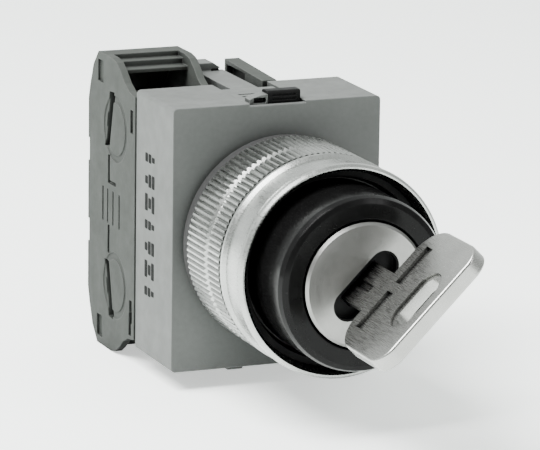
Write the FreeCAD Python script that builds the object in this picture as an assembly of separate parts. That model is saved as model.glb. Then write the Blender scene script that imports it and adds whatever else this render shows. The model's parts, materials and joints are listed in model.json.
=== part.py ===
"""Key-operated selector switch for a 30 mm panel hole, as an assembly of separate pieces.

Frame, in millimetres: +Z up, Y along the operator's axis with the key towards -Y, X to the right as
seen from the key. The origin is on the axis, in the housing face that bears on the back of the panel.
The key stands in its right-hand position, 45 degrees clockwise of upright, and turns 90 degrees to
the left. Turning it swings a tilted cam, which pushes one contact block and lets the other one go.
"""
import FreeCAD, Part
import math
import os

V = FreeCAD.Vector
os.makedirs("parts", exist_ok=True)

# ---- driving dimensions -------------------------------------------------------------------------
# operator housing
HOUSING_W = 36.8
HOUSING_H = 44.5
HOUSING_D = 17.0
HOUSING_WALL = 2.2
FACE_WALL = 3.0
PANEL_GAP = 2.2          # room for the panel between the housing face and the gasket, at rest

# threaded neck and the rings on it
NECK_R = 14.9
NECK_BORE_R = 11.0
NECK_FRONT = -23.0
THREAD_PITCH = 2.0
RING_R = 17.7
RING_BORE_R = 15.1
GASKET_T = 2.1
GASKET_R = 17.3
CLAMP_RING_W = 8.4
BEZEL_W = 15.2
BEZEL_KNURL_W = 5.7
BEZEL_FRONT_R = 17.75
BEZEL_MOUTH_R = 16.5
KNURL_TEETH = 110
KNURL_DEPTH = 0.35

# guard sleeve and lock
SLEEVE_R = 14.4
SLEEVE_FRONT = -37.4
DISC_R = 10.3
DISC_FRONT = -37.9
DISC_T = 3.4
BARREL_R = 10.8
BARREL_FRONT = -34.4
PLUG_R = 7.0
BARREL_REAR = 7.4
KEY_ANGLE = 45.0         # blade's tilt from horizontal, seen from the key side
KEY_TURN = 90.0
KEYWAY_W = 8.0
KEYWAY_T = 2.3
MOUTH_R = 2.6
MOUTH_HALF_L = 4.2
MOUTH_DEPTH = 2.2
JOURNAL_R = 5.0          # of the plug, where the cam sits
CLIP_GROOVE_R = 4.6
NUT_R = 13.4
WAFER_COUNT = 5
WAFER_T = 1.0
WAFER_PITCH = 3.6
WAFER_FIRST = -31.9
WAFER_TRAVEL = 0.6

# key
KEY_T = 2.0
KEY_BLADE_W = 7.6
KEY_TIP = -13.9
BOW_REAR = -44.6
BOW_FRONT = -61.6
BOW_W = 24.0
BOW_T = 2.8
BOW_SHIFT = 1.7
RING_HOLE_R = 2.0
RING_HOLE_HALF_L = 2.6
RING_HOLE_Y = BOW_FRONT + 5.0
RING_HOLE_STEP = 0.9     # width and depth of the step round the hole
PRESSED_DEPTH = 0.65

# cam and plungers
CAM_R = 12.5
CAM_FRONT = 8.3
CAM_MID = 12.2
PLUNGER_X = 10.5
PLUNGER_R = 2.0
PLUNGER_TRAVEL = 2.4
PLUNGER_ROD = 6.3
CAM_CLEARANCE = 0.15

# contact blocks
BLOCK_FRONT = 17.3
BLOCK_REAR = 40.0
BLOCK_IN = 4.2
BLOCK_OUT = 18.6
BLOCK_WALL = 1.3
TALL_HALF_H = 25.5
LOW_HALF_H = 19.5
COVER_T = 1.5
SCREW_ACCESS_R = 2.8
BLOCK_SCREW_X = 14.9
BLOCK_SCREW_R = 1.0
BLOCK_SCREW_HOLE_R = 1.15
BLOCK_SCREW_SINK = 0.7   # of the head, into the cover
TERMINAL_SCREW_R = 1.45
TERMINAL_HEAD_R = 2.55


# ---- shape helpers ------------------------------------------------------------------------------
def box(x0, x1, y0, y1, z0, z1):
    return Part.makeBox(x1 - x0, y1 - y0, z1 - z0, V(x0, y0, z0))


def rod(r, y0, y1, x=0.0, z=0.0):
    """A cylinder along Y."""
    return Part.makeCylinder(r, y1 - y0, V(x, y0, z), V(0, 1, 0))


def tube(outer, inner, y0, y1, x=0.0, z=0.0):
    return rod(outer, y0, y1, x, z).cut(rod(inner, y0 - 1, y1 + 1, x, z))


def turned(profile):
    """A solid of revolution about Y from (radius, y) points."""
    points = [V(r, y, 0) for r, y in profile]
    face = Part.Face(Part.makePolygon(points + [points[0]]))
    return face.revolve(V(0, 0, 0), V(0, 1, 0), 360)


def side_prism(points, x0, x1):
    """(y, z) points pushed along X."""
    corners = [V(x0, y, z) for y, z in points]
    return Part.Face(Part.makePolygon(corners + [corners[0]])).extrude(V(x1 - x0, 0, 0))


def front_prism(points, y0, y1):
    """(x, z) points pushed along Y."""
    corners = [V(x, y0, z) for x, z in points]
    return Part.Face(Part.makePolygon(corners + [corners[0]])).extrude(V(0, y1 - y0, 0))


def flat_prism(points, z0, z1):
    """(x, y) points pushed along Z."""
    corners = [V(x, y, z0) for x, y in points]
    return Part.Face(Part.makePolygon(corners + [corners[0]])).extrude(V(0, 0, z1 - z0))


def edges_along(shape, direction, keep=lambda middle: True):
    """Straight edges parallel to a direction, for rounding."""
    found = []
    for edge in shape.Edges:
        if edge.Curve.TypeId != "Part::GeomLine":
            continue
        run = edge.Vertexes[-1].Point - edge.Vertexes[0].Point
        if run.cross(direction).Length < 1e-6 and keep(edge.CenterOfMass):
            found.append(edge)
    return found


def coil(radius, wire_r, y0, y1, turns, x=0.0, z=0.0):
    """A compression spring along Y between two planes."""
    height = y1 - y0 - 2 * wire_r
    helix = Part.makeHelix(height / turns, height, radius)
    section = Part.Wire([Part.makeCircle(wire_r, V(radius, 0, 0), V(0, 1, 0))])
    spring = Part.Wire(helix.Edges).makePipeShell([section], True, True)
    spring.rotate(V(0, 0, 0), V(1, 0, 0), -90)
    spring.translate(V(x, y0 + wire_r, z))
    return spring


def key_turned(shape):
    """Turns a shape built with its blade along X to the key's resting angle."""
    shape.rotate(V(0, 0, 0), V(0, -1, 0), KEY_ANGLE)
    return shape


def save(name, *shapes):
    solids = [s for shape in shapes for s in shape.Solids]
    for s in solids:
        if not s.isValid() or s.Volume <= 0:
            print("bad solid in", name)
    one = solids[0] if len(solids) == 1 else Part.makeCompound(solids)
    one.exportStep(f"parts/{name}.step")


# ---- operator housing ---------------------------------------------------------------------------
HALF_W = HOUSING_W / 2
HALF_H = HOUSING_H / 2
PLATE_T = 2.0
PLATE_FRONT = HOUSING_D - PLATE_T
BOSS_X, BOSS_Z = 13.4, 15.4
HOUSING_SCREW_R = 1.1
HOUSING_HEAD_R = 2.1
HEAD_SINK = 1.0
LEVER_HALF_W = 5.0
LEVER_FRONT = 1.5
LEVER_PLATE_END = 13.8
GRIP_LEFT = -1.2
LEVER_FLOOR = HALF_H - 2.0
THUMB_FRONT = 30.2


def operator_housing():
    shell = box(-HALF_W, HALF_W, 0, HOUSING_D, -HALF_H, HALF_H)
    shell = shell.makeFillet(0.7, edges_along(shell, V(0, 1, 0)))
    inner = box(-HALF_W + HOUSING_WALL, HALF_W - HOUSING_WALL, FACE_WALL, HOUSING_D + 1,
                -HALF_H + HOUSING_WALL, HALF_H - HOUSING_WALL - 2.0)
    shell = shell.cut(inner).cut(rod(NECK_R + 0.1, -1, FACE_WALL + 1))
    for sx in (-1, 1):
        for sz in (-1, 1):
            boss = rod(2.7, FACE_WALL, PLATE_FRONT, sx * BOSS_X, sz * BOSS_Z)
            shell = shell.fuse(boss).cut(rod(HOUSING_SCREW_R, 6, PLATE_FRONT + 1, sx * BOSS_X, sz * BOSS_Z))
    # channel of the locking lever in the roof, behind a lip that is a little lower than the roof
    shell = shell.cut(box(-LEVER_HALF_W, LEVER_HALF_W, 1.2, HOUSING_D + 1, LEVER_FLOOR, HALF_H + 1))
    shell = shell.cut(box(-LEVER_HALF_W, LEVER_HALF_W, -1, 1.3, HALF_H - 0.4, HALF_H + 1))
    # the two feet that key the housing against turning in the panel
    for sx in (-1, 1):
        x = sx * 6.8
        shell = shell.fuse(box(x - 1.35, x + 1.35, 0.6, 4.6, -HALF_H - 0.5, -HALF_H + 0.5))
    return shell.removeSplitter()


def mounting_plate():
    half_w = HALF_W - HOUSING_WALL - 0.1
    top = HALF_H - HOUSING_WALL - 2.1
    plate = box(-half_w, half_w, PLATE_FRONT, HOUSING_D, -HALF_H + HOUSING_WALL + 0.1, top)
    for sx in (-1, 1):
        plate = plate.cut(rod(PLUNGER_R + 0.05, 10, 20, sx * PLUNGER_X))
        guide = tube(PLUNGER_R + 0.9, PLUNGER_R + 0.05, HOUSING_D, HOUSING_D + 1.2, sx * PLUNGER_X)
        plate = plate.fuse(guide)
        for sz in (-1, 1):
            plate = plate.cut(rod(HOUSING_SCREW_R + 0.1, 10, 20, sx * BOSS_X, sz * BOSS_Z))
            plate = plate.cut(rod(HOUSING_HEAD_R + 0.2, HOUSING_D - HEAD_SINK, 20, sx * BOSS_X, sz * BOSS_Z))
        plate = plate.cut(rod(BLOCK_SCREW_HOLE_R, 10, 20, sx * BLOCK_SCREW_X))
    # rib between the contact blocks, which the locking lever's tail slides on
    rib = box(-2.4, 2.4, HOUSING_D, 30.0, -16.0, 16.5)
    rib = rib.cut(box(-3, 3, 21.0, 27.0, -12.0, 12.5))
    return plate.fuse(rib).removeSplitter()


def housing_screws():
    shapes = []
    for sx in (-1, 1):
        for sz in (-1, 1):
            x, z = sx * BOSS_X, sz * BOSS_Z
            head = rod(HOUSING_HEAD_R, HOUSING_D - HEAD_SINK, HOUSING_D - 0.05, x, z)
            slot = box(x - 2.5, x + 2.5, HOUSING_D - 0.5, HOUSING_D + 1, z - 0.25, z + 0.25)
            shapes.append(head.cut(slot).fuse(rod(HOUSING_SCREW_R, 7.0, HOUSING_D - HEAD_SINK, x, z)))
    return shapes


def locking_lever():
    """Plate in the roof channel with a low front end and a tail between the contact blocks."""
    plate = box(-4.7, 4.7, LEVER_FRONT, LEVER_PLATE_END, LEVER_FLOOR + 0.1, HALF_H - 0.25)
    for i in range(3):
        y = LEVER_FRONT + 3.6 + 1.8 * i
        plate = plate.cut(box(-3.4, 3.4, y, y + 0.7, HALF_H - 0.6, HALF_H + 1))
    end = front_prism([(-4.4, LEVER_FLOOR + 0.1), (GRIP_LEFT, LEVER_FLOOR + 0.1), (GRIP_LEFT, 23.4),
                       (-2.4, 23.3), (-4.4, 22.7)], LEVER_FRONT, LEVER_FRONT + 2.2)
    tail = box(-2.4, 2.4, LEVER_PLATE_END - 0.2, 31.0, LEVER_FLOOR + 0.1, HALF_H - 0.45)
    thumb = front_prism([(-2.9, LEVER_FLOOR - 1.0), (1.6, LEVER_FLOOR - 1.0), (1.6, 22.4),
                         (0.4, 23.2), (-2.9, 23.2)], THUMB_FRONT, THUMB_FRONT + 3.8)
    # hollows that save plastic: in the low end beside the grip and in the thumb
    end = end.cut(box(-3.7, -1.5, LEVER_FRONT - 1, LEVER_FRONT + 1.6, LEVER_FLOOR + 0.6, 22.9))
    thumb = thumb.cut(box(0.0, 2.0, THUMB_FRONT - 1, THUMB_FRONT + 2.8, 20.6, 22.2))
    return plate.fuse(end).fuse(tail).fuse(thumb).cut(grip_block()).removeSplitter()


def grip_block():
    """Black grip at the front end of the lever, proud of the roof."""
    low = LEVER_FLOOR + 0.6
    return box(GRIP_LEFT, 4.75, LEVER_FRONT - 0.1, LEVER_FRONT + 2.6, low, 23.9)


def lever_grip():
    grip = grip_block().common(box(-9, 4.6, LEVER_FRONT, 20, 0, 30))
    top_edges = edges_along(grip, V(1, 0, 0), lambda c: c.z > HALF_H + 1)
    grip = grip.makeFillet(0.5, top_edges)
    for i in range(2):
        z = 22.3 + 0.7 * i
        grip = grip.cut(box(-0.4, 3.9, LEVER_FRONT - 1, LEVER_FRONT + 0.25, z, z + 0.3))
    return grip


# ---- neck, rings and gasket ---------------------------------------------------------------------
def threaded_neck():
    """Bushing through the panel hole: its flange bears inside the housing's face."""
    points = [(NECK_BORE_R, FACE_WALL + 2.0), (NECK_R + 1.2, FACE_WALL + 2.0),
              (NECK_R + 1.2, FACE_WALL), (NECK_R, FACE_WALL), (NECK_R, -1.5)]
    y = -1.5
    while y - THREAD_PITCH > NECK_FRONT + 0.5:
        points += [(NECK_R - 0.7, y - THREAD_PITCH / 2), (NECK_R, y - THREAD_PITCH + 0.3),
                   (NECK_R, y - THREAD_PITCH)]
        y -= THREAD_PITCH
    points += [(NECK_R, NECK_FRONT + 0.3), (NECK_R - 0.4, NECK_FRONT), (NECK_BORE_R, NECK_FRONT)]
    return turned(points)


def knurled(r, depth, teeth, y0, y1):
    """A straight-knurled cylinder along Y."""
    points = []
    for i in range(teeth):
        for j, radius in ((0.0, r), (0.28, r), (0.64, r - depth)):
            a = 2 * math.pi * (i + j) / teeth
            points.append((radius * math.cos(a), radius * math.sin(a)))
    return front_prism(points, y0, y1)


RING_REAR = -PANEL_GAP - GASKET_T
CLAMP_FRONT = RING_REAR - CLAMP_RING_W
BEZEL_REAR = CLAMP_FRONT - 0.4
BEZEL_FRONT = BEZEL_REAR - BEZEL_W
BEZEL_STEP = BEZEL_FRONT + 4.2


def panel_gasket():
    return tube(GASKET_R, RING_BORE_R, RING_REAR, -PANEL_GAP)


def clamp_ring():
    ring = knurled(RING_R, KNURL_DEPTH, KNURL_TEETH, CLAMP_FRONT, RING_REAR)
    limits = turned([(0, RING_REAR), (RING_R - 0.6, RING_REAR), (RING_R + 0.1, RING_REAR - 0.7),
                     (RING_R + 0.1, CLAMP_FRONT + 0.7), (RING_R - 0.6, CLAMP_FRONT), (0, CLAMP_FRONT)])
    return ring.common(limits).cut(rod(RING_BORE_R, -60, 10))


def bezel_ring():
    """Front ring: a knurled skirt, a bright shoulder and a smooth bezel with a deep mouth."""
    knurl_end = BEZEL_REAR - BEZEL_KNURL_W
    skirt = knurled(RING_R, KNURL_DEPTH, KNURL_TEETH, knurl_end, BEZEL_REAR)
    limits = turned([(0, BEZEL_REAR), (RING_R - 0.6, BEZEL_REAR), (RING_R + 0.1, BEZEL_REAR - 0.7),
                     (RING_R + 0.1, knurl_end), (0, knurl_end)])
    nose = turned([(0, knurl_end), (RING_R - 0.45, knurl_end), (RING_R - 0.45, knurl_end - 0.5),
                   (RING_R + 0.05, knurl_end - 0.9), (RING_R + 0.05, knurl_end - 1.5),
                   (RING_R - 0.5, knurl_end - 2.1), (BEZEL_FRONT_R - 0.35, BEZEL_FRONT + 2.2),
                   (BEZEL_FRONT_R, BEZEL_FRONT + 1.0), (BEZEL_FRONT_R - 0.1, BEZEL_FRONT + 0.4),
                   (BEZEL_FRONT_R - 0.5, BEZEL_FRONT), (0, BEZEL_FRONT)])
    ring = skirt.common(limits).fuse(nose)
    mouth = turned([(0, BEZEL_STEP), (BEZEL_MOUTH_R - 0.3, BEZEL_STEP),
                    (BEZEL_MOUTH_R, BEZEL_FRONT + 0.6), (BEZEL_MOUTH_R + 0.5, BEZEL_FRONT - 0.01),
                    (0, BEZEL_FRONT - 0.01)])
    return ring.cut(mouth).cut(rod(RING_BORE_R, -60, 10)).removeSplitter()


def bezel_insert():
    """Black trim ring on the step inside the bezel's mouth."""
    return tube(BEZEL_MOUTH_R - 0.3, RING_BORE_R, BEZEL_STEP - 1.0, BEZEL_STEP)


# ---- lock ---------------------------------------------------------------------------------------
def lock_sleeve():
    """Black guard around the lock: it is pushed over the barrel against the neck."""
    inner = BARREL_R + 0.05
    return turned([(inner, NECK_FRONT), (SLEEVE_R, NECK_FRONT), (SLEEVE_R, SLEEVE_FRONT + 1.4),
                   (SLEEVE_R - 0.35, SLEEVE_FRONT + 0.45), (SLEEVE_R - 1.2, SLEEVE_FRONT),
                   (DISC_R + 0.5, SLEEVE_FRONT), (DISC_R + 0.12, SLEEVE_FRONT + 0.4),
                   (DISC_R + 0.12, BARREL_FRONT), (inner, BARREL_FRONT)])


def lock_barrel():
    barrel = tube(BARREL_R, PLUG_R + 0.05, BARREL_FRONT, BARREL_REAR)
    barrel = barrel.fuse(tube(NECK_BORE_R - 0.03, BARREL_R - 0.5, NECK_FRONT + 0.5, FACE_WALL + 1.8))
    # four grooves that the wafers spring into, two for each end of the key's turn
    for turn in (0, 90):
        groove = box(-PLUG_R - 1.0, PLUG_R + 1.0, WAFER_FIRST - 1.0,
                     WAFER_FIRST + WAFER_PITCH * WAFER_COUNT, -3.3, 3.3)
        groove.rotate(V(0, 0, 0), V(0, -1, 0), KEY_ANGLE + turn)
        barrel = barrel.cut(groove)
    return barrel.removeSplitter()


def barrel_nut():
    nut = tube(NUT_R, BARREL_R + 0.05, FACE_WALL + 2.0, BARREL_REAR)
    for angle in (0, 60, 120):
        notch = box(-20, 20, 4, 9, -1.1, 1.1).cut(rod(12.2, 0, 10))
        notch.rotate(V(0, 0, 0), V(0, 1, 0), angle)
        nut = nut.cut(notch)
    return nut


def lock_plug():
    disc = turned([(0, DISC_FRONT), (DISC_R - 0.45, DISC_FRONT), (DISC_R, DISC_FRONT + 0.45),
                   (DISC_R, DISC_FRONT + DISC_T), (0, DISC_FRONT + DISC_T)])
    plug = disc.fuse(rod(PLUG_R, DISC_FRONT + 2, BARREL_REAR)).fuse(rod(JOURNAL_R, BARREL_REAR - 1, 11.0))
    plug = plug.cut(tube(8, CLIP_GROOVE_R, 7.5, 8.15))
    plug = plug.cut(box(-6, 6, 8.3, 12, 4.0, 8))
    # round-ended mouth of the keyway, wider than the blade
    mouth = box(-MOUTH_HALF_L, MOUTH_HALF_L, DISC_FRONT - 1, DISC_FRONT + MOUTH_DEPTH,
                -MOUTH_R, MOUTH_R)
    for sx in (-1, 1):
        mouth = mouth.fuse(rod(MOUTH_R, DISC_FRONT - 1, DISC_FRONT + MOUTH_DEPTH, sx * MOUTH_HALF_L))
    plug = plug.cut(mouth)
    plug = plug.cut(box(-KEYWAY_W / 2, KEYWAY_W / 2, DISC_FRONT - 1, KEY_TIP + 1.0,
                        -KEYWAY_T / 2, KEYWAY_T / 2))
    for i in range(WAFER_COUNT):
        y = WAFER_FIRST + WAFER_PITCH * i
        plug = plug.cut(box(-PLUG_R - 1, PLUG_R + 1, y - 0.05, y + WAFER_T + 0.05, -3.05, 3.05))
    plug = plug.cut(rod(1.25, 3.0, 12))
    return key_turned(plug)


def wafer(i):
    """One flat tumbler: its window lets the blade through with room for its own travel."""
    y = WAFER_FIRST + WAFER_PITCH * i
    plate = box(-7, 7, y, y + WAFER_T, -3.0, 3.0).common(rod(PLUG_R - 0.1, y - 1, y + 2))
    window_half = KEYWAY_W / 2 + WAFER_TRAVEL
    return key_turned(plate.cut(box(-window_half, window_half, y - 1, y + 2, -1.2, 1.2)))


def retaining_clip():
    clip = tube(7.9, CLIP_GROOVE_R, 7.5, 8.1).cut(box(-3.2, 3.2, 7, 9, -9, 0))
    return key_turned(clip)


def drive_cam():
    """Round cam whose rear face is tilted, so that the two plungers move opposite ways."""
    slope = PLUNGER_TRAVEL / (2 * PLUNGER_X * math.sin(math.radians(KEY_TURN / 2)))
    cam = rod(CAM_R, CAM_FRONT, 16)
    reach = 20.0
    cutter = side_prism([(CAM_MID - slope * reach, -reach), (CAM_MID + slope * reach, reach),
                         (40, reach), (40, -reach)], -reach, reach)
    # the face rises towards the upper right at rest
    cutter.rotate(V(0, 0, 0), V(0, 1, 0), 45)
    cam = cam.cut(cutter)
    bore = rod(JOURNAL_R + 0.05, 0, 20).cut(box(-6, 6, 0, 20, 4.0, 8))
    cam = cam.cut(key_turned(bore)).cut(rod(6.8, 11.0, 20))
    # notches for the detent spring at both ends of the turn
    for angle in (90, 0):
        notch = Part.makeCylinder(1.3, 20, V(CAM_R + 0.2, 0, 0), V(0, 1, 0))
        notch.rotate(V(0, 0, 0), V(0, -1, 0), angle)
        cam = cam.cut(notch)
    return cam


def cam_washer():
    return tube(6.5, 1.6, 11.0, 11.6)


def cam_screw():
    head = rod(2.7, 11.6, 13.2)
    slot = box(-0.35, 0.35, 12.6, 14, -3, 3).fuse(box(-3, 3, 12.6, 14, -0.35, 0.35))
    return head.cut(slot).fuse(rod(1.25, 3.2, 11.6))


def detent_spring():
    """Leaf spring over the cam: its bent nose stands over a notch of the rim."""
    top = CAM_R + 2.2
    t = 0.4
    outline = [(-9.0, top - 0.6), (-2.6, top), (-1.2, top - 0.3), (0, CAM_R + 0.15),
               (1.2, top - 0.3), (2.6, top), (9.0, top - 0.6), (9.0, top - 0.6 + t), (2.6, top + t),
               (0.9, top + t), (0.0, CAM_R + 1.05), (-0.9, top + t), (-2.6, top + t),
               (-9.0, top - 0.6 + t)]
    return front_prism(outline, 9.0, 12.5)


# ---- key ----------------------------------------------------------------------------------------
def round_ended(r, half_l, x, y, z0, z1):
    """A slot's solid along Z: two half circles joined by a straight stretch along X."""
    slot = box(x - half_l, x + half_l, y - r, y + r, z0, z1)
    for sx in (-1, 1):
        slot = slot.fuse(Part.makeCylinder(r, z1 - z0, V(x + sx * half_l, y, z0), V(0, 0, 1)))
    return slot


def key():
    half = KEY_BLADE_W / 2
    blade = flat_prism([(-half, BOW_REAR - 1), (-half, KEY_TIP - 3.0), (-0.6, KEY_TIP),
                        (0.6, KEY_TIP), (half, KEY_TIP - 3.0), (half, BOW_REAR - 1)],
                       -KEY_T / 2, KEY_T / 2)
    # cuts in both edges where the wafers sit, and a milled groove down each side
    for i, depth in enumerate((0.7, 1.1, 0.5, 1.3, 0.8)):
        y = WAFER_FIRST + WAFER_PITCH * i + WAFER_T / 2
        for sx in (-1, 1):
            cut = depth if sx > 0 else 1.6 - depth
            x = sx * half
            blade = blade.cut(flat_prism([(x, y - 1.7), (x - sx * cut, y - 0.5), (x - sx * cut, y + 0.5),
                                          (x, y + 1.7), (x + sx, y + 1.7), (x + sx, y - 1.7)], -2, 2))
    for sz in (-1, 1):
        z = sz * (KEY_T / 2 + 0.3)
        blade = blade.cut(box(-1.0, 0.4, DISC_FRONT - 4, 0, z - 0.7, z + 0.7))
    x0, x1 = BOW_SHIFT - BOW_W / 2, BOW_SHIFT + BOW_W / 2
    bow = box(x0, x1, BOW_FRONT, BOW_REAR, -BOW_T / 2, BOW_T / 2)
    upright = V(0, 0, 1)
    bow = bow.makeFillet(5.2, edges_along(bow, upright, lambda c: c.y > BOW_REAR - 1))
    bow = bow.makeFillet(3.4, edges_along(bow, upright, lambda c: c.y < BOW_FRONT + 1))
    rim = [e for e in bow.Edges if abs(e.CenterOfMass.z) > BOW_T / 2 - 1e-6]
    bow = bow.makeFillet(0.4, rim)
    # key-ring hole near the front edge, with a step round it on each side
    bow = bow.cut(round_ended(RING_HOLE_R, RING_HOLE_HALF_L, BOW_SHIFT, RING_HOLE_Y, -BOW_T, BOW_T))
    step = round_ended(RING_HOLE_R + RING_HOLE_STEP, RING_HOLE_HALF_L, BOW_SHIFT, RING_HOLE_Y,
                       BOW_T / 2 - RING_HOLE_STEP / 2, BOW_T)
    bow = bow.cut(step).cut(step.mirror(V(0, 0, 0), V(0, 0, 1)))
    # pairs of pressed hollows across the bow, each side
    for sz in (-1, 1):
        for x_low, x_high in ((-8.4, -0.9), (0.9, 8.4)):
            z = sz * BOW_T / 2
            bow = bow.cut(box(BOW_SHIFT + x_low, BOW_SHIFT + x_high, BOW_REAR - 4.8, BOW_REAR - 2.6,
                              z - PRESSED_DEPTH, z + PRESSED_DEPTH))
    return key_turned(blade.fuse(bow).removeSplitter())


# ---- plungers and contact blocks ----------------------------------------------------------------
NOSE_GAP = PLUNGER_R / math.cos(math.atan(
    PLUNGER_TRAVEL / (2 * PLUNGER_X * math.sin(math.radians(KEY_TURN / 2))))) + CAM_CLEARANCE
BLOCK_MID = (BLOCK_IN + BLOCK_OUT) / 2
COVER_FRONT = BLOCK_REAR - COVER_T
BRIDGE_T = 0.8
BRIDGE_AT = 5.0          # from the pusher's front end to the bridge
TIP_T = 0.5
TIP_Z = 6.6
STRIP_T = 1.0
STRIP_Y = 20.5           # terminal end of the fixed strips
LEG_Z = 8.7              # where the strips turn forward to the terminals
PUSHER_L = 10.5


class Side:
    """Where the pieces of one contact block lie. The left one is a closing pair, the right one opens."""

    def __init__(self, name, sx, half_h, screw_z, pushed):
        self.name = name
        self.sx = sx
        self.half_h = half_h
        self.screw_z = screw_z
        self.tall = half_h > HALF_H
        self.back_z = half_h - (8.0 if self.tall else 3.6)
        self.strip_end = half_h - (5.0 if self.tall else 3.0)
        nose = CAM_MID + PLUNGER_TRAVEL * (0.5 if pushed else -0.5) + NOSE_GAP
        self.nose = nose
        self.push = nose + PLUNGER_ROD
        self.bridge = self.push + BRIDGE_AT
        self.closing = not pushed
        if self.closing:
            self.contact_y = self.bridge + BRIDGE_T + 2 * TIP_T + PLUNGER_TRAVEL + 0.1
        else:
            self.contact_y = self.bridge - 2 * TIP_T - PLUNGER_TRAVEL - 0.1 - STRIP_T

    def span(self, inner, outer):
        """X limits from distances off the middle plane."""
        return (inner, outer) if self.sx > 0 else (-outer, -inner)


LEFT = Side("left", -1, TALL_HALF_H, 14.5, False)
RIGHT = Side("right", 1, LOW_HALF_H, 12.6, True)


def plunger(side):
    x = side.sx * PLUNGER_X
    ball = Part.makeSphere(PLUNGER_R, V(x, side.nose, 0))
    return rod(PLUNGER_R, side.nose, side.push, x).fuse(ball).removeSplitter()


def block_outline(side):
    """Half outline in (y, z) of a contact block, mirrored into a full one."""
    half_h = side.half_h
    if side.tall:
        upper = [(BLOCK_FRONT, half_h - 4.6), (20.2, half_h - 4.2), (22.4, half_h - 3.2),
                 (24.4, half_h - 1.6), (26.4, half_h - 0.4), (28.6, half_h), (35.2, half_h),
                 (37.6, half_h - 2.6), (39.2, half_h - 6.4), (BLOCK_REAR, half_h - 9.0)]
    else:
        upper = [(BLOCK_FRONT, half_h), (29.0, half_h), (BLOCK_REAR, half_h - 2.3)]
    return upper + [(y, -z) for y, z in reversed(upper)]


def block_housing(side):
    outline = block_outline(side)
    x0, x1 = side.span(BLOCK_IN, BLOCK_OUT)
    shell = side_prism(outline, x0, x1)
    a, b = side.span(BLOCK_IN + BLOCK_WALL, BLOCK_OUT - BLOCK_WALL)
    back_z = side.back_z
    roof = side.half_h - 1.3
    rear_in = 34.2 if side.tall else 29.5
    inner = [(BLOCK_FRONT + 1.4, roof - 1.2), (rear_in, roof - 1.2), (COVER_FRONT, back_z),
             (BLOCK_REAR + 1, back_z)]
    inner += [(y, -z) for y, z in reversed(inner)]
    shell = shell.cut(side_prism(inner, a, b))
    for sz in (-1, 1):
        z0, z1 = sorted((sz * (roof - 3), sz * (side.half_h + 2)))
        shell = shell.cut(box(a, b, BLOCK_FRONT + 1.4, 27.0, z0, z1))
        if side.tall:
            # two steps in the roof between the cheeks
            for y, drop in ((31.4, 0.9), (29.3, 1.9)):
                z0, z1 = sorted((sz * (side.half_h - drop), sz * (side.half_h + 2)))
                shell = shell.cut(box(a, b, 18.7, y, z0, z1))
            shell = shell.cut(cheek_recesses(side, sz))
    if side.tall:
        shell = shell.cut(side_ribs())
        # steps in the rear edge
        for z in (-8.6, 5.6):
            shell = shell.cut(box(-BLOCK_OUT - 1, -BLOCK_OUT + BLOCK_WALL, BLOCK_REAR - 0.6, 50, z, z + 4.0))
    if not side.tall:
        # barrier rib beside the middle, higher than the block
        rib = box(BLOCK_IN, BLOCK_IN + 2.6, BLOCK_FRONT, 34.5, side.half_h - 2, 22.9)
        rib = rib.cut(side_prism([(17, 22.3), (34.6, 22.9), (34.6, 30), (17, 30)], 0, 20))
        rib = rib.cut(box(BLOCK_IN + BLOCK_WALL, 20, 18.7, 27.0, 0, 16.5))
        # hollow in the side of the rib that faces the lever's tail
        rib = rib.cut(box(BLOCK_IN - 1, BLOCK_IN + 1.3, 25.0, 33.7, 19.9, 22.1))
        shell = shell.fuse(rib)
    shell = shell.cut(rod(PLUNGER_R + 1.3, 10, 20, side.sx * PLUNGER_X))
    shell = shell.cut(rod(BLOCK_SCREW_HOLE_R, 10, 20, side.sx * BLOCK_SCREW_X))
    return shell.removeSplitter()


RIM_R = 5.7              # round sunk line on the tall block's cheek
RIM_W = 1.2
RIM_DEPTH = 0.2
RIM_Y = 26.6
RIM_Z = 13.6


def cheek_recesses(side, sz):
    """Moulded hollows in the outer cheek, the same above and below but for the short mark."""
    through = side.span(BLOCK_OUT - BLOCK_WALL - 0.1, BLOCK_OUT + 1)
    shallow = side.span(BLOCK_OUT - 0.5, BLOCK_OUT + 1)

    def hollow(limits, y0, y1, z_near, z_far):
        z0, z1 = sorted((sz * z_near, sz * z_far))
        return box(*limits, y0, y1, z0, z1)

    slot = side_prism([(29.4, sz * 10.2), (31.8, sz * 9.8), (29.6, sz * 19.6), (27.2, sz * 19.8)], *through)
    faint_x, faint_end = side.span(BLOCK_OUT - RIM_DEPTH, BLOCK_OUT + 1)
    centre = V(faint_x, RIM_Y, sz * RIM_Z)
    rim = Part.makeCylinder(RIM_R, faint_end - faint_x, centre, V(1, 0, 0))
    core = Part.makeCylinder(RIM_R - RIM_W, faint_end - faint_x, centre, V(1, 0, 0))
    shapes = [slot, rim.cut(core), hollow(shallow, 32.6, 35.4, 20.4, 24.2),
              hollow(shallow, 29.3, 30.3, 3.6, 8.6), hollow(shallow, 18.2, 19.6, 14.4, 18.4)]
    if sz > 0:
        shapes.append(hollow(shallow, 26.4, 30.3, 3.6, 4.3))
    else:
        shapes.append(hollow(through, 18.6, 19.8, 16.6, 20.6))
    return Part.makeCompound(shapes)


def side_ribs():
    """Two upright ribs low on the outer cheek of the tall block, sunk between shallow grooves."""
    grooves = []
    for y0, y1 in ((32.3, 33.0), (30.0, 30.6), (27.4, 28.0), (24.4, 25.0)):
        grooves.append(box(-BLOCK_OUT - 1, -BLOCK_OUT + 0.35, y0, y1, -3.4, 2.6))
    return Part.makeCompound(grooves)


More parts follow.
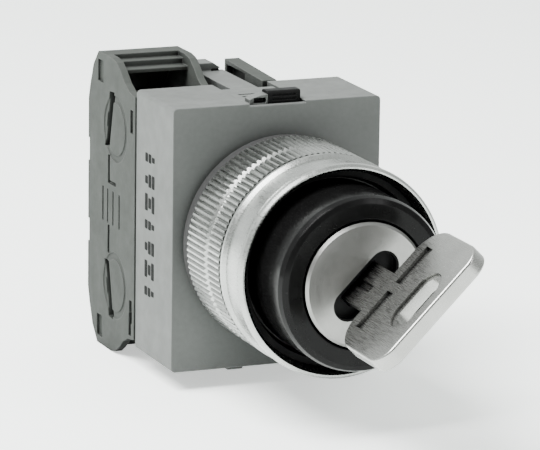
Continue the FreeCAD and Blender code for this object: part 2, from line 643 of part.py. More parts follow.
def block_cover(side):
    """Rear cover with a screwdriver hole over each terminal screw."""
    back_z = side.back_z - 0.1
    a, b = side.span(BLOCK_IN + BLOCK_WALL + 0.05, BLOCK_OUT - BLOCK_WALL - 0.05)
    cover = box(a, b, COVER_FRONT, BLOCK_REAR, -back_z, back_z)
    x = side.sx * BLOCK_MID
    for sz in (-1, 1):
        cover = cover.cut(rod(SCREW_ACCESS_R, 30, 50, x, sz * side.screw_z))
        z = sz * 5.0
        cover = cover.cut(box(a + 1.5, b - 1.5, BLOCK_REAR - 0.5, 50, z - 0.5, z + 0.5))
    cover = cover.cut(rod(BLOCK_SCREW_HOLE_R, 30, 50, side.sx * BLOCK_SCREW_X))
    return cover.cut(rod(2.4, BLOCK_REAR - BLOCK_SCREW_SINK, 50, side.sx * BLOCK_SCREW_X))


def block_screw(side):
    x = side.sx * BLOCK_SCREW_X
    head = rod(1.35, BLOCK_REAR - BLOCK_SCREW_SINK, BLOCK_REAR + 0.5, x)
    head = head.cut(box(x - 2, x + 2, BLOCK_REAR + 0.1, BLOCK_REAR + 1, -0.2, 0.2))
    return head.fuse(rod(BLOCK_SCREW_R, PLATE_FRONT, BLOCK_REAR - BLOCK_SCREW_SINK, x))


def pusher(side):
    """Plastic carrier for the bridge, with a window that the bridge passes through."""
    x = side.sx * PLUNGER_X
    y = side.push
    body = box(x - 3.0, x + 3.0, y, y + PUSHER_L, -3.4, 3.4)
    body = body.makeFillet(0.5, edges_along(body, V(0, 1, 0)))
    if side.closing:
        window = box(x - 2.4, x + 2.4, y + 2.0, y + BRIDGE_AT + BRIDGE_T, -5, 5)
    else:
        window = box(x - 2.4, x + 2.4, y + BRIDGE_AT, y + 8.8, -5, 5)
    return body.cut(window).fuse(rod(1.2, y + PUSHER_L - 0.5, y + PUSHER_L + 1.3, x))


def contact_bridge(side):
    x = side.sx * PLUNGER_X
    bridge = box(x - 2.2, x + 2.2, side.bridge, side.bridge + BRIDGE_T, -8.2, 8.2)
    return bridge.makeFillet(0.8, edges_along(bridge, V(0, 1, 0)))


def tips(x, y0, y1):
    return [rod(1.5, y0, y1, x, sz * TIP_Z) for sz in (-1, 1)]


def bridge_tips(side):
    y = side.bridge + BRIDGE_T if side.closing else side.bridge - TIP_T
    return tips(side.sx * PLUNGER_X, y, y + TIP_T)


def fixed_tips(side):
    y = side.contact_y - TIP_T if side.closing else side.contact_y + STRIP_T
    return tips(side.sx * PLUNGER_X, y, y + TIP_T)


def contact_spring(side):
    x = side.sx * PLUNGER_X
    y = side.push
    span = (y + 2.0, y + BRIDGE_AT) if side.closing else (y + BRIDGE_AT + BRIDGE_T, y + 8.8)
    return coil(1.5, 0.2, span[0], span[1], 4, x)


def return_spring(side):
    x = side.sx * PLUNGER_X
    return coil(2.0, 0.25, side.push + PUSHER_L, COVER_FRONT, 5, x)


def terminal(side, sz):
    """Fixed contact strip: from its tip it turns forward to the screw."""
    near, far = side.contact_y, STRIP_Y
    outline = [(near, 5.0), (near, LEG_Z), (far, LEG_Z), (far, side.strip_end),
               (far + STRIP_T, side.strip_end), (far + STRIP_T, LEG_Z + STRIP_T),
               (near + STRIP_T, LEG_Z + STRIP_T), (near + STRIP_T, 5.0)]
    mid = side.sx * BLOCK_MID
    strip = side_prism([(y, sz * z) for y, z in outline], mid - 3.2, mid + 3.2)
    return strip.cut(rod(1.5, 10, 40, mid, sz * side.screw_z))


def clamp_plate(side, sz):
    mid = side.sx * BLOCK_MID
    z = sz * side.screw_z
    plate = box(mid - 3.3, mid + 3.3, STRIP_Y + STRIP_T + 0.4, STRIP_Y + STRIP_T + 1.3, z - 2.6, z + 2.6)
    return plate.cut(rod(1.55, 10, 40, mid, z))


def terminal_screw(side, sz):
    mid = side.sx * BLOCK_MID
    z = sz * side.screw_z
    y = STRIP_Y + STRIP_T + 1.3
    head = rod(TERMINAL_HEAD_R, y, y + 2.1, mid, z)
    head = head.cut(box(mid - 3, mid + 3, y + 1.1, y + 3, z - 0.35, z + 0.35))
    head = head.cut(box(mid - 0.35, mid + 0.35, y + 1.1, y + 3, z - 1.7, z + 1.7))
    return head.fuse(rod(TERMINAL_SCREW_R, BLOCK_FRONT + 1.6, y, mid, z))


# ---- writing the pieces -------------------------------------------------------------------------
save("operator_housing", operator_housing())
save("mounting_plate", mounting_plate())
save("housing_screws", *housing_screws())
save("locking_lever", locking_lever())
save("lever_grip", lever_grip())
save("threaded_neck", threaded_neck())
save("panel_gasket", panel_gasket())
save("clamp_ring", clamp_ring())
save("bezel_ring", bezel_ring())
save("bezel_insert", bezel_insert())
save("lock_sleeve", lock_sleeve())
save("lock_barrel", lock_barrel())
save("barrel_nut", barrel_nut())
save("lock_plug", lock_plug())
for number in range(WAFER_COUNT):
    save(f"wafer_{number + 1}", wafer(number))
save("retaining_clip", retaining_clip())
save("drive_cam", drive_cam())
save("cam_washer", cam_washer())
save("cam_screw", cam_screw())
save("detent_spring", detent_spring())
save("key", key())
for block in (LEFT, RIGHT):
    save(f"{block.name}_plunger", plunger(block))
    save(f"{block.name}_block_housing", block_housing(block))
    save(f"{block.name}_block_cover", block_cover(block))
    save(f"{block.name}_block_screw", block_screw(block))
    save(f"{block.name}_pusher", pusher(block))
    save(f"{block.name}_contact_bridge", contact_bridge(block))
    save(f"{block.name}_bridge_tips", *bridge_tips(block))
    save(f"{block.name}_fixed_tips", *fixed_tips(block))
    save(f"{block.name}_contact_spring", contact_spring(block))
    save(f"{block.name}_return_spring", return_spring(block))
    for label, sign in (("upper", 1), ("lower", -1)):
        save(f"{block.name}_terminal_{label}", terminal(block, sign))
        save(f"{block.name}_clamp_plate_{label}", clamp_plate(block, sign))
        save(f"{block.name}_terminal_screw_{label}", terminal_screw(block, sign))
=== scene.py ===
"""Looks of the selector key switch: materials, printed marks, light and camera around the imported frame."""
import json
import math

import bmesh
import bpy
from mathutils import Matrix, Vector


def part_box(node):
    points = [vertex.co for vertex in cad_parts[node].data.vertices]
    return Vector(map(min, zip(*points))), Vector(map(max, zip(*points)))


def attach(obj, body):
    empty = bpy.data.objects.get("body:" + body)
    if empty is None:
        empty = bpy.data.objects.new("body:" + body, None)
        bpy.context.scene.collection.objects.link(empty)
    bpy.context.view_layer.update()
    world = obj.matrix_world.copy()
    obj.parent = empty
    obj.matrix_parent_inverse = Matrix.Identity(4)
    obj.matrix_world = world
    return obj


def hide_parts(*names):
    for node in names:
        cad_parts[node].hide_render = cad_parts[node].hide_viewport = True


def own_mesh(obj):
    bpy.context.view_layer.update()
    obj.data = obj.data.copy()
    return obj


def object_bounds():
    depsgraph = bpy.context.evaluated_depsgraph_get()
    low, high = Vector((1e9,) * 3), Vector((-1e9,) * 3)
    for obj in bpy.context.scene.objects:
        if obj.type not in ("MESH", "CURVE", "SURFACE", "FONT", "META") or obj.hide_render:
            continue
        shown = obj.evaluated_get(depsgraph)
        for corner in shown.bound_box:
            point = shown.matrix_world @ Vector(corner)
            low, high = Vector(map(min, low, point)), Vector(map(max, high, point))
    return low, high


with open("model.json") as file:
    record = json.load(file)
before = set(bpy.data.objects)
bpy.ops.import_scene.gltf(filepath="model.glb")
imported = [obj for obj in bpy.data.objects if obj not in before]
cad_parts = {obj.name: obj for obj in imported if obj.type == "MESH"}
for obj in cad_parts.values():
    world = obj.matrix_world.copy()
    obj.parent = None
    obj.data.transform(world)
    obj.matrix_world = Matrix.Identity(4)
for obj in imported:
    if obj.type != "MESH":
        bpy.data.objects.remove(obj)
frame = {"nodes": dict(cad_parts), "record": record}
cad_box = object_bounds()

MM = 0.001
NODES = frame["nodes"]

# ---- camera and light -----------------------------------------------------------------------------
AZIMUTH = math.radians(22.3)   # of the camera, to the left of the front
ELEVATION = math.radians(13.2)
ROLL = math.radians(0.8)
DISTANCE = 0.75                # distances and sizes here are in metres
LENS = 302.0
SENSOR = 36.0
NEAR, FAR = 0.01, 20.0
AIM = Vector((-1.1, 0.0, 1.6)) * MM
ROOM_COLOUR = (0.96, 1.0, 0.98, 1)
ROOM_FRONT = 0.35              # strength of the room's light in front of the object, and behind it
ROOM_BACK = 1.6
FLOOR_HALF = 2.5
FLOOR_GLOW = 0.8               # a lit sweep, as small products are photographed on
KEY_LIGHT = {"azimuth": 84, "elevation": 60, "distance": 0.7, "size": 0.45, "power": 18.0}
FRONT_STRIP = {"azimuth": -35, "elevation": 30, "distance": 0.7, "size": 0.10, "power": 1.2, "height": 0.5}

# ---- material detail ------------------------------------------------------------------------------
# sizes in mm
CLOUDS = 7.0              # slow changes of tone in plastic
SPECKS = 0.9
SHEEN = 3.0               # patches that are more or less glossy
GRAIN = 0.22
# edges made paler, for wear and a painted highlight
EDGE_WEAR_AND_HIGHLIGHT = 0.3
TOOL_MARKS = 0.4
METAL_CLOUDS = 5.0
TURNED_STEP = 1.6
# reach of the darkening of corners, for dirt and painted shade
PLASTIC_DIRT_AND_SHADE = 1.6
METAL_DIRT_AND_SHADE = 1.2
INK_WEAR = 0.8
INK_GRAIN = 0.2
FLOOR_CLOUDS = 60.0
# share of the dark colour that is left: in corners of plastic, for dirt and painted shade; in corners and
# deep insides of metal, for grime and painted shade; in slots and deep insides of plastic, for painted shade
PLASTIC_SHADE_AND_DIRT_LEFT = 0.7
METAL_SHADE_AND_GRIME_LEFT = 0.12
SHADED = 0.15

# painted shade in enclosed places: reach in mm, and the openness below and above which a surface counts as
# enclosed or as open
SLOTS = (2.5, 0.3, 0.62)
INSIDE = (14.0, 0.2, 0.55)

# ---- pieces that only the looks need, in mm -------------------------------------------------------
MARKS = 7                # groups of printed bars, one below the other
MARK_TOP = 11.8
MARK_STEP = 3.8
MARK_FROM_FRONT = 10.6
MARK_BARS = 3            # in a group
MARK_BAR_STEP = 1.55
MARK_BAR_HALF = 0.6
MARK_HALF_H = 0.75       # of the lowest bars
MARK_GROWTH = 0.35
MARK_SHORT = 0.6         # share of the height that a short bar has
MARK_CLIP = 0.25         # share of a bar's half size that its corners lose
MARK_SUNK = 0.01
MARK_T = 0.05
MOUTH_R = 2.6            # of the hollow round the keyway in the lock's face
MOUTH_HALF_L = 4.2
MOUTH_DEPTH = 2.2
SHADE_LINER_WALL = 0.25       # of the black liner in that hollow, a dark sheet that paints shade there
SHADE_LINER_FLOOR = 0.35
SHADE_LINER_LIP = 0.25        # behind the lock's face
SHADE_LINER_GAP = 0.02
SHADE_LINER_POINTS = 64
KEYWAY_HALF = (4.0, 1.15)    # along and across
THUMB_PLUG_SIZE = (1.52, 2.6, 1.45)
THUMB_PLUG_LEFT = 0.03   # its left side, from the middle plane
THUMB_PLUG_REAR = 1.15   # from the lever's rear end
THUMB_PLUG_DROP = 0.05   # below the housing's roof
THUMB_PLUG_ROUND = 0.22
CHEEK_WALL = 1.3         # of the tall block
# black plates that paint shade behind the tall block's slanted slots
SHADE_PLATE_T = 0.5
SHADE_PLATE_FRONT = 9.0       # from the block's front
SHADE_PLATE_DEPTH = 6.2
SHADE_PLATE_NEAR = 9.0        # of the end nearer to the block's middle, from that middle
SHADE_PLATE_FROM_TOP = 5.0
SHADE_PLATE_GAP = 0.03        # behind the wall
SHADE_PLATE_ROUND = 0.12
SPRING_WIRE = 0.5
SPRING_TURNS = 5
SPRING_STEPS = 24        # points in one turn
EDGE_ANGLE = math.radians(50)
# nodes whose edges are rounded, and by how much
EDGE_RADII = {"operator_housing": 0.3, "left_block_cover": 0.25, "right_block_cover": 0.25}


def look_from(azimuth, elevation, distance, target):
    """Position on a sphere round a target: azimuth to the left of the front, seen from -Y."""
    away = Vector((-math.sin(azimuth) * math.cos(elevation),
                   -math.cos(azimuth) * math.cos(elevation),
                   math.sin(elevation)))
    return target + distance * away


def add_camera():
    """A long lens, from the left of the front and a little above."""
    data = bpy.data.cameras.new("camera")
    data.lens = LENS
    data.sensor_width = SENSOR
    data.clip_start, data.clip_end = NEAR, FAR
    camera = bpy.data.objects.new("camera", data)
    camera.location = look_from(AZIMUTH, ELEVATION, DISTANCE, AIM)
    towards = (AIM - camera.location).to_track_quat("-Z", "Y")
    camera.rotation_euler = (towards.to_matrix() @ Matrix.Rotation(ROLL, 3, "Z")).to_euler()
    bpy.context.collection.objects.link(camera)
    bpy.context.scene.camera = camera


def add_area(name, azimuth, elevation, distance, size, power, height=None):
    """A rectangular lamp that looks at the origin, square where no height is given."""
    data = bpy.data.lights.new(name, "AREA")
    data.shape = "RECTANGLE"
    data.size = size
    data.size_y = height or size
    data.energy = power
    lamp = bpy.data.objects.new(name, data)
    lamp.location = look_from(math.radians(azimuth), math.radians(elevation), distance, Vector())
    lamp.rotation_euler = (-lamp.location).to_track_quat("-Z", "Y").to_euler()
    bpy.context.collection.objects.link(lamp)


def add_studio():
    """Room light, two lamps and the floor."""
    world = bpy.data.worlds.new("studio")
    world.use_nodes = True
    tree = world.node_tree
    # the room is paler behind the object than in front of it, so its front stays in soft shade
    place = tree.nodes.new("ShaderNodeTexCoord")
    axes = tree.nodes.new("ShaderNodeSeparateXYZ")
    tree.links.new(place.outputs["Generated"], axes.inputs["Vector"])
    fade = tree.nodes.new("ShaderNodeMapRange")
    fade.inputs["From Min"].default_value = -1.0
    fade.inputs["From Max"].default_value = 0.6
    fade.inputs["To Min"].default_value = ROOM_FRONT
    fade.inputs["To Max"].default_value = ROOM_BACK
    tree.links.new(axes.outputs["Y"], fade.inputs["Value"])
    tree.links.new(fade.outputs["Result"], tree.nodes["Background"].inputs["Strength"])
    tree.nodes["Background"].inputs["Color"].default_value = ROOM_COLOUR
    bpy.context.scene.world = world
    add_area("key_light", **KEY_LIGHT)
    add_area("front_strip", **FRONT_STRIP)
    add_floor()


def add_floor():
    floor_z = cad_box[0][2]
    corners = [(-1, -1), (1, -1), (1, 1), (-1, 1)]
    mesh = bpy.data.meshes.new("floor")
    mesh.from_pydata([(x * FLOOR_HALF, y * FLOOR_HALF, floor_z) for x, y in corners], [], [(0, 1, 2, 3)])
    floor = bpy.data.objects.new("floor", mesh)
    bpy.context.collection.objects.link(floor)
    mesh.materials.append(plain_floor())


# ---- material building blocks ---------------------------------------------------------------------
class Finish:
    """A principled material that its functions add procedural detail to."""

    def __init__(self, name, colour, roughness, metallic=0.0, shine=0.5):
        self.material = bpy.data.materials.new(name)
        self.material.use_nodes = True
        self.tree = self.material.node_tree
        self.shader = self.tree.nodes["Principled BSDF"]
        self.shader.inputs["Metallic"].default_value = metallic
        self.shader.inputs["Specular IOR Level"].default_value = shine
        self.colour = None
        self.base = (*colour, 1.0)
        self.shader.inputs["Base Color"].default_value = self.base
        self.shader.inputs["Roughness"].default_value = roughness
        self.normal = None
        self.place = self.add("ShaderNodeTexCoord").outputs["Object"]

    def add(self, kind, **values):
        node = self.tree.nodes.new(kind)
        for key, value in values.items():
            setattr(node, key, value)
        return node

    def join(self, source, target):
        self.tree.links.new(source, target)

    def stretched(self, scale):
        mapping = self.add("ShaderNodeMapping")
        mapping.inputs["Scale"].default_value = scale
        self.join(self.place, mapping.inputs["Vector"])
        return mapping.outputs["Vector"]

    def noise(self, size_mm, detail=3.0, place=None):
        """Noise whose blobs are about size_mm across."""
        node = self.add("ShaderNodeTexNoise")
        node.inputs["Scale"].default_value = 1.0 / (size_mm * MM)
        node.inputs["Detail"].default_value = detail
        self.join(place or self.place, node.inputs["Vector"])
        return node.outputs["Fac"]

    def spread(self, value, low, high, from_low=0.3, from_high=0.7):
        node = self.add("ShaderNodeMapRange")
        node.inputs["From Min"].default_value = from_low
        node.inputs["From Max"].default_value = from_high
        node.inputs["To Min"].default_value = low
        node.inputs["To Max"].default_value = high
        self.join(value, node.inputs["Value"])
        return node.outputs["Result"]

    def tint(self, fac, colour):
        """Mixes a colour over the base where fac is high."""
        node = self.add("ShaderNodeMix", data_type="RGBA")
        self.join(fac, node.inputs["Factor"])
        if self.colour is None:
            node.inputs["A"].default_value = self.base
        else:
            self.join(self.colour, node.inputs["A"])
        node.inputs["B"].default_value = (*colour, 1.0)
        self.colour = node.outputs["Result"]
        self.join(self.colour, self.shader.inputs["Base Color"])

    def roughen(self, fac):
        self.join(fac, self.shader.inputs["Roughness"])

    def bump(self, height, depth_mm):
        node = self.add("ShaderNodeBump")
        node.inputs["Distance"].default_value = depth_mm * MM
        node.inputs["Strength"].default_value = 1.0
        self.join(height, node.inputs["Height"])
        if self.normal is not None:
            self.join(self.normal, node.inputs["Normal"])
        self.normal = node.outputs["Normal"]
        self.join(self.normal, self.shader.inputs["Normal"])

    def edges(self, radius_mm):
        """Softens sharp edges, and is high along them, where the rounded normal leaves the real one."""
        rounded = self.add("ShaderNodeBevel", samples=4)
        rounded.inputs["Radius"].default_value = radius_mm * MM
        flat = self.add("ShaderNodeNewGeometry")
        dot = self.add("ShaderNodeVectorMath", operation="DOT_PRODUCT")
        self.join(rounded.outputs["Normal"], dot.inputs[0])
        self.join(flat.outputs["Normal"], dot.inputs[1])
        self.normal = rounded.outputs["Normal"]
        return self.spread(dot.outputs["Value"], 1.0, 0.0, 0.86, 1.0)

    def dirt_and_shade_mask(self, reach_mm, closed=0.25, open_=0.85):
        """High where the surface is enclosed, by ambient occlusion: over a short reach in corners and
        grooves, for dirt and painted shade, or with a long reach deep inside, for painted shade.
        """
        node = self.add("ShaderNodeAmbientOcclusion", samples=6)
        node.inputs["Distance"].default_value = reach_mm * MM
        return self.spread(node.outputs["AO"], 1.0, 0.0, closed, open_)


def darker(colour, share):
    """The share of a colour that is left."""
    return [share * c for c in colour]


def plain_floor():
    finish = Finish("floor", (0.92, 0.95, 0.93), 0.75)
    finish.tint(finish.spread(finish.noise(FLOOR_CLOUDS), 0.0, 0.3), (0.88, 0.91, 0.89))
    finish.shader.inputs["Emission Color"].default_value = (0.97, 1.0, 0.98, 1.0)
    finish.shader.inputs["Emission Strength"].default_value = FLOOR_GLOW
    return finish.material


def moulded(name, colour, dark, light, roughness=0.5, grain=0.012, shine=0.25):
    """Moulded plastic: uneven tone, fine grain, paler edges for scuffs and a painted highlight, dirt and
    painted shade in the corners, painted shade in slots and deep inside.
    """
    finish = Finish(name, colour, roughness, shine=shine)
    finish.tint(finish.spread(finish.noise(CLOUDS, 5.0), 0.0, 0.5), dark)
    finish.tint(finish.spread(finish.noise(SPECKS, 2.0), 0.0, 0.14), light)
    # dirt and painted shade: corners darkened by how enclosed they are
    finish.tint(finish.dirt_and_shade_mask(PLASTIC_DIRT_AND_SHADE), darker(dark, PLASTIC_SHADE_AND_DIRT_LEFT))
    # painted shade: slots and deep insides darkened almost to black by how enclosed they are
    finish.tint(finish.dirt_and_shade_mask(*SLOTS), darker(dark, SHADED))
    finish.tint(finish.dirt_and_shade_mask(*INSIDE), darker(dark, SHADED))
    # paler along edges: wear and a painted highlight
    finish.tint(finish.edges(EDGE_WEAR_AND_HIGHLIGHT), light)
    finish.roughen(finish.spread(finish.noise(SHEEN, 4.0), roughness - 0.06, roughness + 0.1))
    finish.bump(finish.noise(GRAIN, 2.0), grain)
    return finish


def printed(name, colour, faded):
    """Printing ink, a little uneven where it has worn."""
    finish = Finish(name, colour, 0.7, shine=0.03)
    finish.tint(finish.spread(finish.noise(INK_WEAR, 3.0), 0.0, 0.6), faded)
    finish.bump(finish.noise(INK_GRAIN, 2.0), 0.002)
    return finish


def metal(name, colour, dark, roughness, streaks=(1.0, 1.0, 1.0), depth=0.0012):
    """Plated metal: fine tool marks along one direction, uneven sheen, grime and painted shade in corners,
    painted shade deep inside.
    """
    finish = Finish(name, colour, roughness, metallic=1.0)
    lines = finish.noise(TOOL_MARKS, 3.0, finish.stretched(streaks))
    finish.tint(finish.spread(finish.noise(METAL_CLOUDS, 3.0), 0.0, 0.4), dark)
    # grime and painted shade in corners, painted shade deep inside, by how enclosed the surface is
    finish.tint(finish.dirt_and_shade_mask(METAL_DIRT_AND_SHADE), darker(dark, METAL_SHADE_AND_GRIME_LEFT))
    finish.tint(finish.dirt_and_shade_mask(*INSIDE), darker(dark, METAL_SHADE_AND_GRIME_LEFT))
    finish.roughen(finish.spread(lines, roughness - 0.04, roughness + 0.06))
    finish.bump(lines, depth)
    return finish


def turned_metal(name, colour, dark, roughness):
    """Lathe-turned face: fine rings round the Y axis."""
    finish = metal(name, colour, dark, roughness)
    rings = finish.add("ShaderNodeTexWave", wave_type="RINGS", rings_direction="Y")
    rings.inputs["Scale"].default_value = 1.0 / (TURNED_STEP * MM)
    rings.inputs["Distortion"].default_value = 0.4
    rings.inputs["Detail"].default_value = 2.0
    finish.join(finish.place, rings.inputs["Vector"])
    finish.bump(rings.outputs["Fac"], 0.002)
    return finish


def make_finishes():
    """One finish for each material slot, and one for the printing ink."""
    return {
        "grey_body": moulded("grey_body", (0.094, 0.099, 0.095), (0.076, 0.081, 0.077),
                             (0.145, 0.153, 0.146), 0.52, 0.012, 0.16),
        "grey_block": moulded("grey_block", (0.046, 0.050, 0.046), (0.032, 0.035, 0.032),
                              (0.075, 0.08, 0.075), 0.62, 0.012, 0.06),
        "black_plastic": moulded("black_plastic", (0.004, 0.004, 0.004), (0.002, 0.002, 0.002),
                                 (0.012, 0.012, 0.012), 0.45, 0.006, 0.08),
        "black_gloss": moulded("black_gloss", (0.003, 0.003, 0.003), (0.002, 0.002, 0.002),
                               (0.008, 0.008, 0.008), 0.18, 0.0015, 0.10),
        "ink": printed("ink", (0.008, 0.008, 0.008), (0.022, 0.023, 0.022)),
        "ring_metal": metal("ring_metal", (0.45, 0.46, 0.445), (0.22, 0.23, 0.22), 0.27,
                            (1.0, 0.15, 1.0), 0.0005),
        "neck_metal": metal("neck_metal", (0.45, 0.45, 0.44), (0.2, 0.2, 0.2), 0.4),
        "lock_nickel": turned_metal("lock_nickel", (0.27, 0.27, 0.26), (0.17, 0.17, 0.165), 0.32),
        "key_nickel": metal("key_nickel", (0.38, 0.38, 0.366), (0.26, 0.26, 0.25), 0.27, (3.0, 0.15, 3.0),
                            0.0001),
        "brass_parts": metal("brass_parts", (0.72, 0.53, 0.25), (0.4, 0.27, 0.12), 0.32),
        "silver_contacts": metal("silver_contacts", (0.85, 0.84, 0.8), (0.5, 0.5, 0.48), 0.3),
        "steel": metal("steel", (0.6, 0.6, 0.6), (0.25, 0.25, 0.25), 0.34),
        "spring_steel": metal("spring_steel", (0.45, 0.45, 0.46), (0.2, 0.2, 0.2), 0.3),
        "rubber_seal": moulded("rubber_seal", (0.02, 0.02, 0.02), (0.01, 0.01, 0.01),
                               (0.05, 0.05, 0.05), 0.7),
        "white_plastic": moulded("white_plastic", (0.75, 0.74, 0.70), (0.6, 0.59, 0.55),
                                 (0.85, 0.85, 0.82)),
    }


# ---- pieces ---------------------------------------------------------------------------------------
def soften_edges():
    """Small rounded edges on the moulded housings, as real tools leave them."""
    for name, radius_mm in EDGE_RADII.items():
        bevel = NODES[name].modifiers.new("soft_edges", "BEVEL")
        bevel.width = radius_mm * MM
        bevel.segments = 2
        bevel.limit_method = "ANGLE"
        bevel.angle_limit = EDGE_ANGLE


def place_piece(name, data, material, body):
    """Makes a mesh into a piece that rides on a body."""
    data.materials.clear()
    data.materials.append(material)
    piece = bpy.data.objects.new(name, data)
    bpy.context.collection.objects.link(piece)
    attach(piece, body)
    return piece


def add_piece(name, mesh, material, body):
    """Makes a bmesh into a piece that rides on a body."""
    data = bpy.data.meshes.new(name)
    bmesh.ops.recalc_face_normals(mesh, faces=mesh.faces)
    mesh.to_mesh(data)
    mesh.free()
    place_piece(name, data, material, body)


def bar(mesh, centre, half_y, half_z):
    """A thin bar with clipped corners, lying on a face that looks towards -X."""
    clip = MARK_CLIP * min(half_y, half_z)
    outline = [(half_y, half_z - clip), (half_y - clip, half_z),
               (-half_y + clip, half_z), (-half_y, half_z - clip),
               (-half_y, -half_z + clip), (-half_y + clip, -half_z),
               (half_y - clip, -half_z), (half_y, -half_z + clip)]
    verts = [mesh.verts.new(centre + Vector((0, y, z))) for y, z in outline]
    face = mesh.faces.new(verts)
    mesh.normal_update()
    if face.normal.x > 0:
        face.normal_flip()
    raised = bmesh.ops.extrude_face_region(mesh, geom=[face])["geom"]
    bmesh.ops.translate(mesh, verts=[v for v in raised if isinstance(v, bmesh.types.BMVert)],
                        vec=(-MARK_T * MM, 0, 0))


def printed_marks(finishes):
    """Column of plain printed bars down the left side of the housing: they say nothing."""
    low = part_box("operator_housing")[0]
    middle_y = low[1] + MARK_FROM_FRONT * MM
    for i in range(MARKS):
        mesh = bmesh.new()
        z = (MARK_TOP - MARK_STEP * i) * MM
        half_z = (MARK_HALF_H + MARK_GROWTH * (i % 3)) * MM
        surface = Vector((low[0] + MARK_SUNK * MM, middle_y, z))
        for k in range(MARK_BARS):
            shift = Vector((0, (k - (MARK_BARS - 1) / 2) * MARK_BAR_STEP * MM, 0))
            bar(mesh, surface + shift, MARK_BAR_HALF * MM, half_z * (1.0 if (i + k) % 3 else MARK_SHORT))
        add_piece(f"printed_mark_{i + 1}", mesh, finishes["ink"].material, "switch_body")


def around_slot(angle, half_length, radius):
    """Point of a round-ended slot's outline at an angle, along and across the slot."""
    along, across = math.cos(angle), math.sin(angle)
    centre = math.copysign(half_length, along)
    return centre + radius * along, radius * across


def around_box(angle, half_length, half_width):
    """Point of a rectangle's outline at an angle, along and across."""
    along, across = math.cos(angle), math.sin(angle)
    reach = 1 / max(abs(along), abs(across))
    return half_length * along * reach, half_width * across * reach


def keyway_shade_liner(finishes):
    """Black liner in the mouth of the keyway, a dark sheet that paints shade there: the blade passes through
    its floor.
    """
    face_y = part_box("lock_plug")[0][1]
    along = Vector((1, 0, 1)).normalized()
    across = Vector((-1, 0, 1)).normalized()
    floor_y = face_y + (MOUTH_DEPTH - SHADE_LINER_FLOOR) * MM
    back_y = face_y + (MOUTH_DEPTH - SHADE_LINER_GAP) * MM
    front_y = face_y + SHADE_LINER_LIP * MM
    outer, inner = MOUTH_R - SHADE_LINER_GAP, MOUTH_R - SHADE_LINER_WALL
    loops = [(around_slot, MOUTH_HALF_L, outer, back_y), (around_slot, MOUTH_HALF_L, outer, front_y),
             (around_slot, MOUTH_HALF_L, inner, front_y), (around_slot, MOUTH_HALF_L, inner, floor_y),
             (around_box, *KEYWAY_HALF, floor_y), (around_box, *KEYWAY_HALF, back_y)]
    mesh = bmesh.new()
    rings = []
    for outline, a, b, y in loops:
        ring = []
        for i in range(SHADE_LINER_POINTS):
            u, v = outline(2 * math.pi * (i + 0.5) / SHADE_LINER_POINTS, a, b)
            ring.append(mesh.verts.new(u * MM * along + v * MM * across + Vector((0, y, 0))))
        rings.append(ring)
    for k, ring in enumerate(rings):
        following = rings[(k + 1) % len(rings)]
        for i in range(SHADE_LINER_POINTS):
            j = (i + 1) % SHADE_LINER_POINTS
            mesh.faces.new((ring[i], ring[j], following[j], following[i]))
    add_piece("keyway_shade_liner", mesh, finishes["black_plastic"].material, "rotor")


def rounded_block(low, high, radius):
    """A block between two corners, with all its edges rounded."""
    size, centre = high - low, (high + low) / 2
    mesh = bmesh.new()
    bmesh.ops.create_cube(mesh, size=1.0, matrix=Matrix.Translation(centre) @ Matrix.Diagonal((*size, 1.0)))
    bmesh.ops.bevel(mesh, geom=mesh.edges[:], offset=radius, segments=3, profile=0.5, affect="EDGES")
    return mesh


def thumb_plug(finishes):
    """Black rounded plug in the hollow at the right end of the lever's thumb."""
    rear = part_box("locking_lever")[1][1] - THUMB_PLUG_REAR * MM
    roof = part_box("operator_housing")[1][2] - THUMB_PLUG_DROP * MM
    size = Vector(THUMB_PLUG_SIZE) * MM
    low = Vector((THUMB_PLUG_LEFT * MM, rear - size.y, roof - size.z))
    mesh = rounded_block(low, low + size, THUMB_PLUG_ROUND * MM)
    add_piece("thumb_plug", mesh, finishes["black_plastic"].material, "locking_slide")


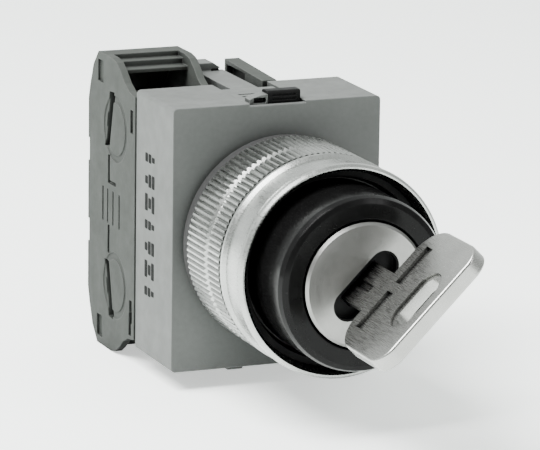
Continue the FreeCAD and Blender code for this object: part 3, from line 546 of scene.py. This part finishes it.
def cheek_shade_plates(finishes):
    """Black plates behind the slanted slots in the tall block's cheek, which paint shade there so that its
    inside stays dark.
    """
    low, high = (Vector(corner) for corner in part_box("left_block_housing"))
    front = Vector((low.x + (CHEEK_WALL + SHADE_PLATE_GAP) * MM, low.y + SHADE_PLATE_FRONT * MM, 0))
    for name, sign in (("upper", 1), ("lower", -1)):
        ends = sorted((sign * (high.z - SHADE_PLATE_FROM_TOP * MM), sign * SHADE_PLATE_NEAR * MM))
        start = front + Vector((0, 0, ends[0]))
        end = front + Vector((SHADE_PLATE_T * MM, SHADE_PLATE_DEPTH * MM, ends[1]))
        mesh = rounded_block(start, end, SHADE_PLATE_ROUND * MM)
        add_piece(f"cheek_shade_plate_{name}", mesh, finishes["black_plastic"].material, "switch_body")


def helix(name, middle, radius, first_y, last_y, wire):
    """Mesh of a coiled wire of a given radius round a line along Y."""
    curve = bpy.data.curves.new(name, "CURVE")
    curve.dimensions = "3D"
    curve.bevel_depth = wire
    curve.bevel_resolution = 3
    curve.use_fill_caps = True
    line = curve.splines.new("POLY")
    steps = SPRING_TURNS * SPRING_STEPS
    line.points.add(steps)
    for i in range(steps + 1):
        angle = 2 * math.pi * i / SPRING_STEPS
        x, z = middle.x + radius * math.cos(angle), middle.z + radius * math.sin(angle)
        y = first_y + (last_y - first_y) * i / steps
        line.points[i].co = (x, y, z, 1.0)
    source = bpy.data.objects.new(name, curve)
    bpy.context.collection.objects.link(source)
    bpy.context.view_layer.update()
    data = bpy.data.meshes.new_from_object(source)
    bpy.data.objects.remove(source)
    data.name = name
    for face in data.polygons:
        face.use_smooth = True
    return data


def squeezed_spring(finishes):
    """The left return spring as a coiled wire of one fixed length, in place of the CAD spring; in the real
    switch the pusher shortens it as the key turns.
    """
    low, high = (Vector(corner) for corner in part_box("left_return_spring"))
    middle = (low + high) / 2
    wire = SPRING_WIRE / 2 * MM
    radius = (high.x - low.x) / 2 - wire
    data = helix("left_spring_wire", middle, radius, low.y + wire, high.y - wire, wire)
    piece = place_piece("left_spring_wire", data, finishes["spring_steel"].material, "switch_body")
    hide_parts("left_return_spring")
    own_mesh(piece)


def dress_nodes(finishes):
    """Gives each CAD node the finish of its material slot."""
    slots = {part["node"]: part["material_slot"] for part in frame["record"]["subparts"]}
    for name, node in NODES.items():
        node.data.materials.clear()
        node.data.materials.append(finishes[slots[name]].material)


FINISHES = make_finishes()
add_camera()
add_studio()
dress_nodes(FINISHES)
soften_edges()
printed_marks(FINISHES)
keyway_shade_liner(FINISHES)
thumb_plug(FINISHES)
cheek_shade_plates(FINISHES)
squeezed_spring(FINISHES)
